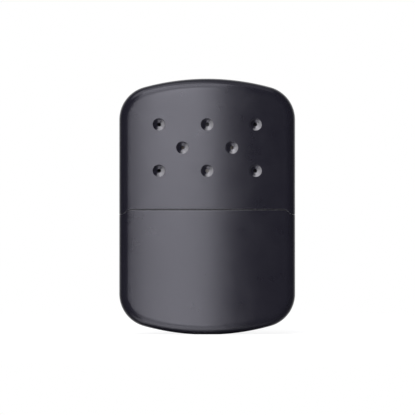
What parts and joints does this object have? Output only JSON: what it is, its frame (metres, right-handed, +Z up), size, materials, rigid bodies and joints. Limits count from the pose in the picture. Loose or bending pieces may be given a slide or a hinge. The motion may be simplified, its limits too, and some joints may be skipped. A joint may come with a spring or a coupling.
{
  "type": "catalytic hand warmer",
  "caption": "Pebble-shaped pocket hand warmer: fuel tank below, slide-off cover with vent holes above, and a catalyst burner that pulls off the filler neck.",
  "frame": {"origin": "centre of the flat on the base", "axes": "+Z up, +X to the right, the vented front face looks toward -Y"},
  "size_m": [0.0682, 0.0144, 0.099],
  "materials": {
    "black_paint": "satin black paint with worn edges",
    "bright_nickel": "bright nickel plate",
    "drawn_stainless": "drawn stainless with heat tint",
    "fine_stainless": "fine stainless mesh",
    "spring_wire": "bright spring steel",
    "glass_fibre": "glass fibre mat, greyed by platinum",
    "felt": "pressed wool felt",
    "cotton": "cotton wadding"
  },
  "bodies": {
    "tank": {"tank_shell": "black_paint", "tank_collar": "bright_nickel", "filler_neck": "bright_nickel", "neck_gauze": "fine_stainless", "gauze_ring": "spring_wire", "felt_wick": "felt", "cotton_batting": "cotton"},
    "cover": {"cover_shell": "black_paint"},
    "burner": {"burner_housing": "drawn_stainless", "catalyst_guard_mesh": "fine_stainless", "catalyst_mat": "glass_fibre", "catalyst_support_mesh": "fine_stainless", "mesh_frame": "drawn_stainless", "burner_clip_front": "spring_wire", "burner_clip_rear": "spring_wire", "burner_rivets": "spring_wire"}
  },
  "joints": [
    {"name": "cover_lift", "type": "slide", "parent": "tank", "child": "cover", "axis": [0, 0, 1], "range_m": [0, 0.05]},
    {"name": "burner_lift", "type": "slide", "parent": "tank", "child": "burner", "axis": [0, 0, 1], "range_m": [0, 0.015]}
  ]
}
